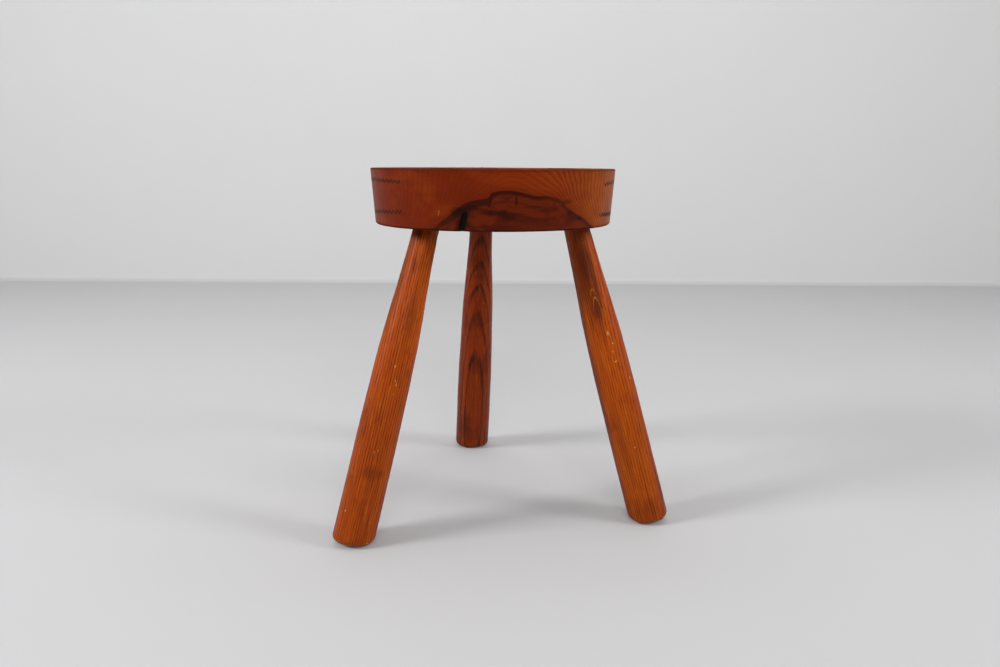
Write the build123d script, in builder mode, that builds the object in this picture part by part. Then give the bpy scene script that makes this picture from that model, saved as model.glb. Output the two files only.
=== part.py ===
"""Milking stool: a thick round plank seat on three splayed legs.

Each leg runs right through the seat as a round tenon and is spread from above
by a hardwood wedge. Two corrugated steel strips driven into each end-grain
side of the seat keep the plank from splitting.

Millimetres, +Z up, floor at Z = 0. X runs along the seat's grain, with the
two front legs at -Y and the back leg at +Y. The origin is on the floor in the
middle of the stool's overall footprint, so the seat's own axis is off centre.
"""

import os
from math import cos, radians, sin

from build123d import *

os.makedirs("parts", exist_ok=True)

# ---------------------------------------------------------------- dimensions
SEAT_X = 1.3              # seat axis, measured from the middle of the footprint
SEAT_Y = -46.7

SEAT_HEIGHT = 448.0       # floor to the top of the seat
SEAT_THICKNESS = 69.4
SEAT_TOP_RADIUS = 155.6
SEAT_BOTTOM_RADIUS = 150.1
SEAT_TOP_EDGE = 1.5       # rounding of the crisp upper edge
SEAT_BOTTOM_EDGE = 3.8    # rounding of the softer lower edge
UNDERSIDE = SEAT_HEIGHT - SEAT_THICKNESS

# each leg runs from its hole in the underside to its foot on the floor,
# both given as (azimuth in degrees, radius) about the seat axis; girth scales
# its lower and its upper half
LEGS = {
    "front_left": {"hole": (211.1, 106.0), "foot": (209.8, 220.3), "girth": (1.000, 1.000)},
    "front_right": {"hole": (331.2, 110.1), "foot": (331.1, 217.5), "girth": (0.985, 1.000)},
    "back": {"hole": (88.9, 108.6), "foot": (89.0, 223.2), "girth": (1.025, 0.975)},
}

# leg radius against the fraction of the way from the foot to the underside
LEG_TAPER = [
    (-0.07, 25.7), (0.00, 25.7), (0.06, 25.6), (0.12, 25.6), (0.30, 25.3), (0.45, 24.7),
    (0.55, 23.9), (0.64, 23.0), (0.72, 21.5), (0.80, 19.5), (0.88, 17.7), (0.94, 16.7),
    (0.985, 15.95),
]
# the upper part is shaved to eight flats: distance from the axis to a flat
LEG_FLATS = [(0.40, 26.6), (0.64, 22.6), (0.72, 21.0), (0.80, 19.1), (0.88, 17.3), (0.985, 15.5)]
FLAT_COUNT = 8
FLAT_TURN = 8.0           # degrees from the outward side to the first corner

TENON_RADIUS = 15.95
MORTISE_RADIUS = 16.0

WEDGE_DEPTH = 42.0        # below the top of the seat
WEDGE_TOP = 4.4           # thickness at the top of the seat
WEDGE_TIP = 0.8           # thickness at the bottom of the kerf

FOOT_FLAT_SIDE = 9.0      # the worn slope starts this far inboard of the leg axis
FOOT_WEAR = 11.0          # slope of the worn outer side of the foot, degrees
FOOT_EDGE = 5.2           # generous rounding of the foot's rim

# corrugated strips: azimuth of the middle, then the height above the underside
# at the end by the front legs, in the middle and at the end by the back leg
STRIPS = {
    "left_upper": (177.5, (53.8, 56.3, 55.0)),
    "left_lower": (177.5, (20.0, 15.8, 14.5)),
    "right_upper": (-1.7, (51.3, 57.0, 56.0)),
    "right_lower": (-3.7, (15.4, 14.5, 15.2)),
}
STRIP_ARC = 77.0          # degrees of the rim that one strip covers
STRIP_PITCH = 8.6         # one full corrugation along the rim
STRIP_WAVE = 4.2          # crest to crest, up and down
STRIP_GAUGE = 1.0
STRIP_DEPTH = 10.0        # how far it is driven into the rim

# bark pocket: an open fissure low on the front of the rim
POCKET_AZIMUTH = 247.6
POCKET_TOP = 24.0
POCKET_WIDTH = 7.6
POCKET_DEPTH = 8.0
POCKET_RUNOUT = 12.0      # the drawn slot carries on below the lower edge
POCKET_LEAN = 13.0        # degrees from upright, top towards the right


# ------------------------------------------------------------------ helpers
def at(azimuth, radius, height):
    """Point at a polar position about the seat axis."""
    turn = radians(azimuth)
    return Vector(SEAT_X + radius * cos(turn), SEAT_Y + radius * sin(turn), height)


def rim_radius(above_underside):
    """Radius of the tapered rim at a height above the underside."""
    share = above_underside / SEAT_THICKNESS
    return SEAT_BOTTOM_RADIUS + (SEAT_TOP_RADIUS - SEAT_BOTTOM_RADIUS) * share


class LegLine:
    """A leg's centre line, with the planes its features are drawn on."""

    def __init__(self, hole, foot):
        self.foot = at(*foot, 0)
        self.hole = at(*hole, UNDERSIDE)
        run = self.hole - self.foot
        self.length = run.length
        self.along = run.normalized()
        self.side = self.along.cross(Vector(0, 0, 1)).normalized()
        self.outward = self.along.cross(self.side).normalized()
        if self.outward.dot(Vector(-run.X, -run.Y, 0)) < 0:
            self.outward = self.outward * -1
        self.to_top = SEAT_THICKNESS / self.along.Z

    def profile_plane(self):
        """Local x away from the centre line, local y up the leg."""
        return Plane(self.foot, x_dir=self.outward, z_dir=self.outward.cross(self.along))

    def cross_plane(self, distance):
        """Square to the leg, this far up from the foot."""
        return Plane(self.foot + self.along * distance, x_dir=self.outward, z_dir=self.along)

    def wedge_plane(self):
        """At the tenon's top end, seen along the wedge: y up the leg."""
        across_grain = Vector(0, 1, 0)
        thin = across_grain.cross(self.along).normalized()
        top = self.foot + self.along * (self.length + self.to_top)
        return Plane(top, x_dir=thin, z_dir=thin.cross(self.along))


lines = {name: LegLine(spec["hole"], spec["foot"]) for name, spec in LEGS.items()}
seat_top_plane = Plane((0, 0, SEAT_HEIGHT), x_dir=(1, 0, 0), z_dir=(0, 0, 1))
parts = {}

# ------------------------------------------------------------------- wedges
for name, line in lines.items():
    with BuildPart() as wedge:
        with BuildSketch(line.wedge_plane()):
            with BuildLine():
                Polyline(
                    (-WEDGE_TIP / 2, -WEDGE_DEPTH),
                    (WEDGE_TIP / 2, -WEDGE_DEPTH),
                    (WEDGE_TOP / 2, 0),
                    (WEDGE_TOP / 2, 10),
                    (-WEDGE_TOP / 2, 10),
                    (-WEDGE_TOP / 2, 0),
                    close=True,
                )
            make_face()
        extrude(amount=TENON_RADIUS + 5, both=True)
        with BuildSketch(line.cross_plane(line.length)):
            Circle(TENON_RADIUS)
        extrude(amount=line.to_top + 30, mode=Mode.INTERSECT)
        split(bisect_by=seat_top_plane, keep=Keep.BOTTOM)
    parts["wedge_" + name] = wedge.part

# --------------------------------------------------------------------- legs
for name, line in lines.items():
    low_girth, high_girth = LEGS[name]["girth"]
    taper = []
    for share, radius in LEG_TAPER:
        girth = low_girth if share < 0.4 else high_girth
        taper.append((radius * girth, share * line.length))
    taper[-1] = (TENON_RADIUS, taper[-1][1])
    low = taper[0][1]
    shoulder = taper[-1][1]

    with BuildPart() as leg:
        # the shaved flats, as a faceted horn a little inside the round taper
        for share, flat in LEG_FLATS:
            with BuildSketch(line.cross_plane(share * line.length)):
                RegularPolygon(flat * high_girth, FLAT_COUNT, major_radius=False, rotation=FLAT_TURN)
        loft(ruled=True)
        with BuildSketch(line.cross_plane(low)):
            Circle(40)
        extrude(amount=LEG_FLATS[0][0] * line.length - low)
        # the round taper itself
        with BuildSketch(line.profile_plane()):
            with BuildLine():
                Spline(*taper)
                Polyline(taper[-1], (0, shoulder), (0, low), taper[0])
            make_face()
        revolve(axis=Axis(line.foot, line.along), mode=Mode.INTERSECT)
        # tenon through the seat, cut off level with its top
        with BuildSketch(line.cross_plane(shoulder - 1)):
            Circle(TENON_RADIUS)
        extrude(amount=line.length - shoulder + line.to_top + 13)
        split(bisect_by=seat_top_plane, keep=Keep.BOTTOM)
        # the foot: level where it bears, worn to a slope on its outer side
        outward = Vector(line.outward.X, line.outward.Y, 0).normalized()
        slope = Vector(0, 0, cos(radians(FOOT_WEAR))) - outward * sin(radians(FOOT_WEAR))
        level = Plane(line.foot, x_dir=outward, z_dir=(0, 0, 1))
        worn = Plane(line.foot - outward * FOOT_FLAT_SIDE, z_dir=slope)
        for bearing in (level, worn):
            with BuildSketch(bearing):
                Rectangle(140, 140)
            extrude(amount=-60, mode=Mode.SUBTRACT)
        rim = leg.edges().filter_by(lambda e: e.center().Z < 9 and e.geom_type != GeomType.LINE)
        fillet(rim, FOOT_EDGE)
        add(parts["wedge_" + name], mode=Mode.SUBTRACT)
    parts["leg_" + name] = leg.part

# ------------------------------------------------------- corrugated strips
# everything further out than the strips' inner edges
with BuildPart() as driven_zone:
    with Locations((SEAT_X, SEAT_Y, UNDERSIDE)):
        Cylinder(
            SEAT_TOP_RADIUS + 2 * STRIP_DEPTH,
            SEAT_THICKNESS,
            align=(Align.CENTER, Align.CENTER, Align.MIN),
        )
        Cone(
            SEAT_BOTTOM_RADIUS - STRIP_DEPTH,
            SEAT_TOP_RADIUS - STRIP_DEPTH,
            SEAT_THICKNESS,
            align=(Align.CENTER, Align.CENTER, Align.MIN),
            mode=Mode.SUBTRACT,
        )

with BuildPart() as seat_disc:
    with Locations((SEAT_X, SEAT_Y, UNDERSIDE)):
        Cone(
            SEAT_BOTTOM_RADIUS,
            SEAT_TOP_RADIUS,
            SEAT_THICKNESS,
            align=(Align.CENTER, Align.CENTER, Align.MIN),
        )

blanks = {}
for name, (middle, heights) in STRIPS.items():
    near, mid, far = heights
    front_first = 1 if abs(middle) > 90 else -1
    arc_length = radians(STRIP_ARC) * rim_radius(mid)
    halves = 2 * round(arc_length / STRIP_PITCH)
    run = arc_length / halves
    steep = Vector(run, STRIP_WAVE, 0)
    plates = []
    for index in range(halves):
        place = (index + 0.5) / halves * 2 - 1
        azimuth = middle - front_first * place * STRIP_ARC / 2
        # a shallow curve through the three heights
        height = mid + place * (far - near) / 2 + place**2 * ((far + near) / 2 - mid)
        turn = radians(azimuth)
        radial = Vector(cos(turn), sin(turn), 0)
        forward = Vector(-sin(turn), cos(turn), 0) * -front_first
        lift = STRIP_WAVE if index % 2 == 0 else -STRIP_WAVE
        rise = (far - near) / 2 + 2 * place * ((far + near) / 2 - mid)
        lift = lift + rise * 2 / halves
        plate = (forward * run + Vector(0, 0, 1) * lift).normalized()
        centre = at(azimuth, rim_radius(height), UNDERSIDE + height)
        plates.append(Plane(centre, x_dir=radial, z_dir=radial.cross(plate)).location)
    with BuildPart() as blank:
        with Locations(*plates):
            Box(3 * STRIP_DEPTH, steep.length + STRIP_GAUGE / 2, STRIP_GAUGE)
        add(driven_zone.part, mode=Mode.INTERSECT)
    blanks[name] = blank.part
    # the strip is dressed flush with the rim
    with BuildPart() as strip:
        add(blank.part)
        add(seat_disc.part, mode=Mode.INTERSECT)
    parts["strip_" + name] = strip.part

# --------------------------------------------------------------------- seat
with BuildPart() as seat:
    add(seat_disc.part)
    fillet(seat.edges().group_by(Axis.Z)[-1], SEAT_TOP_EDGE)
    fillet(seat.edges().group_by(Axis.Z)[0], SEAT_BOTTOM_EDGE)
    # splayed mortises, bored right through
    for line in lines.values():
        with BuildSketch(line.cross_plane(line.length - 20)):
            Circle(MORTISE_RADIUS)
        extrude(amount=line.to_top + 40, mode=Mode.SUBTRACT)
    # bark pocket, leaning, open at the bottom edge
    turn = radians(POCKET_AZIMUTH)
    inward = Vector(-cos(turn), -sin(turn), 0)
    sideways = Vector(sin(turn), -cos(turn), 0)
    face = Plane(at(POCKET_AZIMUTH, SEAT_TOP_RADIUS, UNDERSIDE), x_dir=sideways, z_dir=inward)
    with BuildSketch(face):
        with Locations((0, (POCKET_TOP - POCKET_RUNOUT) / 2)):
            SlotOverall(POCKET_TOP + POCKET_RUNOUT, POCKET_WIDTH, rotation=90 + POCKET_LEAN)
    reach = SEAT_TOP_RADIUS - SEAT_BOTTOM_RADIUS + POCKET_DEPTH
    extrude(amount=reach, mode=Mode.SUBTRACT)
    for blank_part in blanks.values():
        add(blank_part, mode=Mode.SUBTRACT)
parts["seat"] = seat.part

# ------------------------------------------------------------------- export
for name, solid in parts.items():
    solid.label = name
    export_step(solid, "parts/" + name + ".step")
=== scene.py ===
"""Milking stool: detailed pieces, materials, studio and camera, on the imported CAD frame."""

from math import atan2, cos, hypot, pi, radians, sin, sqrt, tan

import bmesh
import bpy
from mathutils import Matrix, Vector, noise


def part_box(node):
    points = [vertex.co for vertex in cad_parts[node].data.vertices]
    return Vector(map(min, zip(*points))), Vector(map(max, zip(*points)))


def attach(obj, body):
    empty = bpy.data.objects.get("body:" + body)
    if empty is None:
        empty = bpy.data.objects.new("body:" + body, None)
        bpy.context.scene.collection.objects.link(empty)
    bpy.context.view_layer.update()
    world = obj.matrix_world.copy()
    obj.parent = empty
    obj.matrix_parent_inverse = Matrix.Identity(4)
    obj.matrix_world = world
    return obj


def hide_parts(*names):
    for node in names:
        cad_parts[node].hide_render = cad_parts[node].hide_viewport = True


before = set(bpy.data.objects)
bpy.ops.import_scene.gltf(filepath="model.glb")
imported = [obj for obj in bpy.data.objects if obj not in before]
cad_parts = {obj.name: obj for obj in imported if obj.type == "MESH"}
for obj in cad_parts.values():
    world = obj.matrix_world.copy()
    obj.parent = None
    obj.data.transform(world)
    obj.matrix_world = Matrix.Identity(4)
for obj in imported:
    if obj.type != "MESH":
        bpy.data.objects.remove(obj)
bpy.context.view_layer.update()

# ---------------------------------------------------------------- dimensions
# metres unless a name or a comment says otherwise; the sizes are the CAD's
MM = 1000.0
SEAT_AXIS = Vector((0.0013, -0.0467, 0.0))
SEAT_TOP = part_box("seat")[1].z
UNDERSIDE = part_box("seat")[0].z
SEAT_T = SEAT_TOP - UNDERSIDE
R_TOP = 0.1556
R_LOW = 0.1501
TOP_EDGE = 0.0018       # rounding of the seat's upper edge
LOW_EDGE = 0.0040       # and of its softer lower edge

# each leg from its hole in the underside to its foot, as (azimuth, radius)
# about the seat's axis; girth scales its lower and its upper half
LEGS = {
    "leg_front_left": {"hole": (211.1, 0.1060), "foot": (209.8, 0.2203), "girth": (1.0, 1.0)},
    "leg_front_right": {"hole": (331.2, 0.1101), "foot": (331.1, 0.2175), "girth": (0.985, 1.0)},
    "leg_back": {"hole": (88.9, 0.1086), "foot": (89.0, 0.2232), "girth": (1.025, 0.975)},
}
# leg radius in mm against the fraction of the way from the foot to the underside
TAPER = [
    (-0.07, 25.7), (0.00, 25.7), (0.06, 25.6), (0.12, 25.6), (0.30, 25.3), (0.45, 24.7),
    (0.55, 23.9), (0.64, 23.0), (0.72, 21.5), (0.80, 19.5), (0.88, 17.7), (0.94, 16.7),
    (0.985, 15.95), (1.03, 15.9), (1.3, 15.9),
]
TENON_R = 0.0159
MORTISE_R = 0.0160
TENON_EASE = 0.0006     # eased end of a tenon
WEDGE_DEPTH = 0.042
WEDGE_HALF_TOP = 0.0022
WEDGE_HALF_TIP = 0.0004
# how far each tenon stands above the seat
PROUD = {"leg_front_left": 0.0007, "leg_front_right": 0.0004, "leg_back": 0.0003}

# corrugated strips: azimuth of the middle, and three heights above the underside
STRIPS = {
    "strip_left_upper": (177.5, (0.0538, 0.0563, 0.0550)),
    "strip_left_lower": (177.5, (0.0200, 0.0158, 0.0145)),
    "strip_right_upper": (-1.7, (0.0513, 0.0570, 0.0560)),
    "strip_right_lower": (-3.7, (0.0154, 0.0145, 0.0152)),
}
STRIP_ARC = 77.0
STRIP_WAVES = 24
STRIP_SWING = 0.0021
STRIP_GAUGE = 0.0010
STRIP_DEPTH = 0.0100
STRIP_RADIUS = 0.1535   # about the seat's axis, to turn lengths into angles

# bark pocket, an open fissure low on the front of the rim
POCKET_BEARING = radians(-22.4)
POCKET_LEAN = radians(13)
POCKET_FOOT = -0.006    # starts below the underside, to cut clean through
POCKET_TALL = 0.0287
POCKET_SHOULDER = 0.0080
POCKET_HALF = 0.0036
POCKET_DEEP = 0.0085

# heartwood showing on the front of the rim: bearing from straight ahead of the
# stool (degrees, right positive) and height above the underside (mm)
HEART = [
    (-62, -19), (-52, -14), (-45, -9), (-40, -3), (-36, 3), (-33, 8.5), (-29.5, 15.5),
    (-26, 22), (-23.5, 27), (-21, 31), (-18, 34), (-14, 36), (-11.5, 37.2), (-10.6, 41),
    (-9, 44), (-4, 45.2), (3, 42.8), (9, 39), (14, 39), (19, 36), (21.5, 32.5),
    (24, 26.5), (32, 15.6), (40, 5.4), (47, -4), (56, -11), (66, -17),
]


# ------------------------------------------------------------------- helpers
def lerp_table(table, t):
    """Smooth interpolation through a table of (position, value)."""
    t = min(max(t, table[0][0]), table[-1][0])
    for i in range(len(table) - 1):
        a, b = table[i], table[i + 1]
        if a[0] <= t <= b[0]:
            before = table[max(i - 1, 0)]
            after = table[min(i + 2, len(table) - 1)]
            span = b[0] - a[0]
            u = (t - a[0]) / span
            ma = span * (b[1] - before[1]) / (b[0] - before[0])
            mb = span * (after[1] - a[1]) / (after[0] - a[0])
            u2, u3 = u * u, u * u * u
            return (
                (2 * u3 - 3 * u2 + 1) * a[1] + (u3 - 2 * u2 + u) * ma
                + (-2 * u3 + 3 * u2) * b[1] + (u3 - u2) * mb
            )


def smooth(a, b, x):
    u = min(1.0, max(0.0, (x - a) / (b - a)))
    return u * u * (3 - 2 * u)


def soft_min(a, b, k):
    h = max(k - abs(a - b), 0.0) / k
    return min(a, b) - h * h * k * 0.25


def wobble(x, y, z, size, seed=0.0):
    """Smooth random value in about -1..1 with features of a given size in metres."""
    return noise.noise(Vector((x / size + seed, y / size - seed * 0.7, z / size + seed * 1.3)))


def new_mesh(name, verts, faces):
    mesh = bpy.data.meshes.new(name)
    mesh.from_pydata([tuple(v) for v in verts], [], faces)
    mesh.validate()
    obj = bpy.data.objects.new(name, mesh)
    bpy.context.scene.collection.objects.link(obj)
    return obj


def face_outward(obj):
    bm = bmesh.new()
    bm.from_mesh(obj.data)
    bmesh.ops.recalc_face_normals(bm, faces=bm.faces)
    bm.to_mesh(obj.data)
    bm.free()


def circle(count):
    """Evenly spaced angles for one turn."""
    return [2 * pi * k / count for k in range(count)]


def ring_quads(first, rows, around, inward=False):
    """Faces between rings of points that follow one another from index first."""
    faces = []
    for j in range(rows - 1):
        for k in range(around):
            a = first + j * around + k
            b = first + j * around + (k + 1) % around
            loop = (a, b, b + around, a + around)
            faces.append((a, a + around, b + around, b) if inward else loop)
    return faces


def tidy_normals(obj, sharp):
    """Welds, turns faces outward and shades edges sharper than an angle (degrees)."""
    bm = bmesh.new()
    bm.from_mesh(obj.data)
    bmesh.ops.remove_doubles(bm, verts=bm.verts, dist=1e-6)
    bmesh.ops.recalc_face_normals(bm, faces=bm.faces)
    for face in bm.faces:
        face.smooth = True
    for edge in bm.edges:
        if len(edge.link_faces) == 2:
            edge.smooth = edge.calc_face_angle(0.0) < radians(sharp)
    bm.to_mesh(obj.data)
    bm.free()


def cut(obj, cutters):
    """Takes cutters away from obj for good."""
    for cutter in cutters:
        step = obj.modifiers.new("cut", "BOOLEAN")
        step.operation = "DIFFERENCE"
        step.solver = "EXACT"
        step.object = cutter
    bpy.context.view_layer.update()
    graph = bpy.context.evaluated_depsgraph_get()
    made = bpy.data.meshes.new_from_object(obj.evaluated_get(graph))
    obj.modifiers.clear()
    obj.data = made
    for cutter in cutters:
        bpy.data.objects.remove(cutter)


class Leg:
    """A leg's centre line and its own axes: z up the leg, x outward."""

    def __init__(self, name, spec):
        self.name = name
        self.girth = spec["girth"]
        ends = []
        for (azimuth, radius), height in ((spec["foot"], 0.0), (spec["hole"], UNDERSIDE)):
            turn = radians(azimuth)
            ends.append(SEAT_AXIS + Vector((radius * cos(turn), radius * sin(turn), height)))
        self.foot, self.hole = ends
        self.length = (self.hole - self.foot).length
        self.z = (self.hole - self.foot).normalized()
        turn = radians(spec["foot"][0])
        out = Vector((cos(turn), sin(turn), 0))
        self.out = out
        self.x = (out - self.z * out.dot(self.z)).normalized()
        self.y = self.z.cross(self.x)
        self.matrix = Matrix.Translation(self.foot) @ Matrix(
            (self.x, self.y, self.z)
        ).transposed().to_4x4()
        self.top = self.length + SEAT_T / self.z.z

    def world(self, x, y, z):
        return self.foot + self.x * x + self.y * y + self.z * z


legs = {name: Leg(name, spec) for name, spec in LEGS.items()}


# --------------------------------------------------------------------- seat
def rim(z):
    return R_LOW + (R_TOP - R_LOW) * z / SEAT_T


def build_seat():
    """Polar mesh about the seat's axis, z from the underside."""
    around = 420
    rings = 40
    side_rows = 44
    # each row: radius, height and which surface it belongs to
    rows = []
    for i in range(1, rings):
        rows.append((i / rings * (R_TOP - 0.0022), SEAT_T, "top"))
    for i in range(6):
        a = pi / 2 * i / 5
        radius = R_TOP - TOP_EDGE * (1 - sin(a)) - 0.0001
        rows.append((radius, SEAT_T - TOP_EDGE * (1 - cos(a)), "side"))
    side_top = SEAT_T - TOP_EDGE
    for i in range(1, side_rows):
        z = side_top + (LOW_EDGE - side_top) * i / side_rows
        rows.append((rim(z), z, "side"))
    for i in range(8):
        a = pi / 2 * i / 7
        rows.append((rim(LOW_EDGE) - LOW_EDGE * (1 - cos(a)), LOW_EDGE * (1 - sin(a)), "side"))
    for i in range(rings - 1, 0, -1):
        rows.append((i / rings * (R_LOW - LOW_EDGE + 0.0002), 0.0, "low"))
    verts = [Vector((0, 0, SEAT_T))]
    for radius, z, kind in rows:
        for t in circle(around):
            x, y = radius * cos(t), radius * sin(t)
            r, h = radius, z
            if kind == "side":
                # shaved by hand: shallow flats round the rim and a little unevenness
                r += (0.00022 * wobble(x, y, z * 0.4, 0.022, 3.1)
                      + 0.00030 * wobble(x, y, z * 0.3, 0.07, 7.7))
                r -= 0.00010
                top_share = smooth(SEAT_T - 0.006, SEAT_T, z)
                low_share = smooth(0.006, 0.0, z)
                nick = max(0.0, wobble(x, y, z, 0.0065, 11.0) - 0.42)
                r -= nick * 0.0016 * top_share
                h -= nick * 0.0008 * top_share
                nick = max(0.0, wobble(x, y, z, 0.009, 19.0) - 0.30)
                r -= nick * 0.0022 * low_share
                h += nick * 0.0012 * low_share
            elif kind == "top":
                # planed, then worn: it dips slightly in the middle
                h -= 0.0005 * (1 - (radius / R_TOP) ** 2)
                h += 0.00022 * wobble(x * 0.45, y, 0, 0.026, 5.5) - 0.00015
            else:
                h += 0.00030 * abs(wobble(x * 0.4, y, 0, 0.022, 9.5))
            verts.append(Vector((r * cos(t), r * sin(t), max(h, 0.0))))
    faces = [(0, 1 + k, 1 + (k + 1) % around) for k in range(around)]
    faces += ring_quads(1, len(rows), around, inward=True)
    last = len(verts)
    verts.append(Vector((0, 0, 0.0001)))
    base = 1 + (len(rows) - 1) * around
    for k in range(around):
        faces.append((last, base + (k + 1) % around, base + k))
    seat = new_mesh("seat_plank", verts, faces)
    seat.location = SEAT_AXIS + Vector((0, 0, UNDERSIDE))
    bpy.context.view_layer.update()
    return seat


def tube_cutter(leg):
    """A plain round bore along a leg, longer than the seat is thick."""
    verts, faces = [], []
    n = 72
    overrun = 0.03
    for z in (leg.length - overrun, leg.top + overrun):
        for t in circle(n):
            verts.append(leg.world(MORTISE_R * cos(t), MORTISE_R * sin(t), z))
    for k in range(n):
        faces.append((k, (k + 1) % n, n + (k + 1) % n, n + k))
    faces.append(tuple(range(n - 1, -1, -1)))
    faces.append(tuple(range(n, 2 * n)))
    return new_mesh("bore", verts, faces)


def strip_mesh(name, gauge, depth, out):
    """A corrugated ribbon lying along the rim, its outer edge at the rim plus out."""
    middle, (near, mid, far) = STRIPS[name]
    front_first = 1 if abs(middle) > 90 else -1
    per = 12
    count = STRIP_WAVES * per
    line = []
    for i in range(-1, count + 2):
        place = i / count * 2 - 1
        azimuth = radians(middle - front_first * place * STRIP_ARC / 2)
        height = mid + place * (far - near) / 2 + place * place * ((far + near) / 2 - mid)
        phase = (i / per) % 1.0
        zig = 4 * abs(phase - 0.5) - 1
        height += STRIP_SWING * (1.08 * zig - 0.08 * zig ** 3) * 0.97
        line.append((azimuth * STRIP_RADIUS, height))
    # six points to a section: three depths on each face of the ribbon
    verts, faces = [], []
    levels = [out, out - depth * 0.5, out - depth]
    for i in range(1, count + 2):
        (a0, h0), (a, h), (a1, h1) = line[i - 1], line[i], line[i + 1]
        du, dv = a1 - a0, h1 - h0
        size = hypot(du, dv) or 1e-9
        nu, nv = -dv / size, du / size
        for side in (0.5, -0.5):
            for level in levels:
                turn = (a + nu * gauge * side) / STRIP_RADIUS
                z = h + nv * gauge * side
                r = rim(z) + level
                verts.append(SEAT_AXIS + Vector((r * cos(turn), r * sin(turn), UNDERSIDE + z)))
    ring = [0, 1, 2, 5, 4, 3]
    rings = len(verts) // 6
    for i in range(rings - 1):
        for k in range(6):
            a, b = ring[k], ring[(k + 1) % 6]
            faces.append((i * 6 + a, i * 6 + b, (i + 1) * 6 + b, (i + 1) * 6 + a))
    faces.append(tuple(ring))
    faces.append(tuple(6 * (rings - 1) + k for k in reversed(ring)))
    obj = new_mesh(name + "_ribbon", verts, faces)
    face_outward(obj)
    return obj


def pocket_cutter():
    """The bark pocket: a leaning, uneven fissure that runs out of the lower edge."""
    verts = []
    rows = 26
    around = 20
    ahead = Vector((sin(POCKET_BEARING), -cos(POCKET_BEARING), 0))
    sideways = Vector((cos(POCKET_BEARING), sin(POCKET_BEARING), 0))
    for j in range(rows + 1):
        z = POCKET_FOOT + POCKET_TALL * j / rows
        # it narrows and grows shallower above its shoulder
        share = min(1.0, max(0.0, (z - POCKET_SHOULDER) / 0.0145))
        half = POCKET_HALF * sqrt(max(0.0, 1 - share ** 5)) + 0.00005
        if z < POCKET_SHOULDER:
            half *= 1 + 0.10 * wobble(z, 0, 0, 0.006, 2.0)
        shift = tan(POCKET_LEAN) * (z - 0.012) + 0.0006 * wobble(z, 1, 0, 0.009, 4.0)
        deep = POCKET_DEEP * (1 - 0.5 * share)
        for t in circle(around):
            across = half * cos(t) * (1 + 0.15 * wobble(cos(t), sin(t), z * 60, 0.8, 1.0))
            if sin(t) > 0:
                r = R_TOP + 0.004
            else:
                r = rim(z) - deep * abs(sin(t)) ** 0.75
            level = Vector((0, 0, UNDERSIDE + z))
            verts.append(SEAT_AXIS + ahead * r + sideways * (across + shift) + level)
    faces = ring_quads(0, rows + 1, around)
    faces.append(tuple(range(around - 1, -1, -1)))
    faces.append(tuple(rows * around + k for k in range(around)))
    obj = new_mesh("pocket", verts, faces)
    face_outward(obj)
    return obj


seat = build_seat()
cutters = [tube_cutter(leg) for leg in legs.values()]
cutters.append(pocket_cutter())
groove_room = 0.0004
for strip_name in STRIPS:
    gauge, depth = STRIP_GAUGE + groove_room, STRIP_DEPTH + groove_room
    cutters.append(strip_mesh(strip_name, gauge, depth, 0.003))
cut(seat, cutters)
tidy_normals(seat, 40)

strips = []
for strip_name in STRIPS:
    ribbon = strip_mesh(strip_name, STRIP_GAUGE, STRIP_DEPTH, -0.0001)
    tidy_normals(ribbon, 50)
    strips.append(ribbon)


# --------------------------------------------------------------------- legs
FACETS = {
    # bearing from outward (degrees) and how far out each flat lies, 1 = touching
    "leg_front_left": [(8, 0.965), (52, 0.975), (100, 0.955), (143, 0.97), (190, 0.96),
                       (232, 0.975), (279, 0.955), (322, 0.97)],
    "leg_front_right": [(-14, 0.96), (33, 0.97), (82, 0.96), (121, 0.975), (168, 0.955),
                        (215, 0.97), (262, 0.965), (306, 0.975)],
    "leg_back": [(20, 0.965), (70, 0.955), (111, 0.975), (160, 0.96), (203, 0.97),
                 (250, 0.955), (293, 0.975), (338, 0.96)],
}
LEG_SEEDS = {"leg_front_left": 1.0, "leg_front_right": 14.0, "leg_back": 29.0}
WEAR_SLOPE = tan(radians(11))
WEAR_START = 0.009      # the worn slope starts this far inboard of the leg's axis
SHAFT_END = 0.004       # below the seat, where the shaft hands over to the tenon
AROUND_LEG = 128


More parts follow.
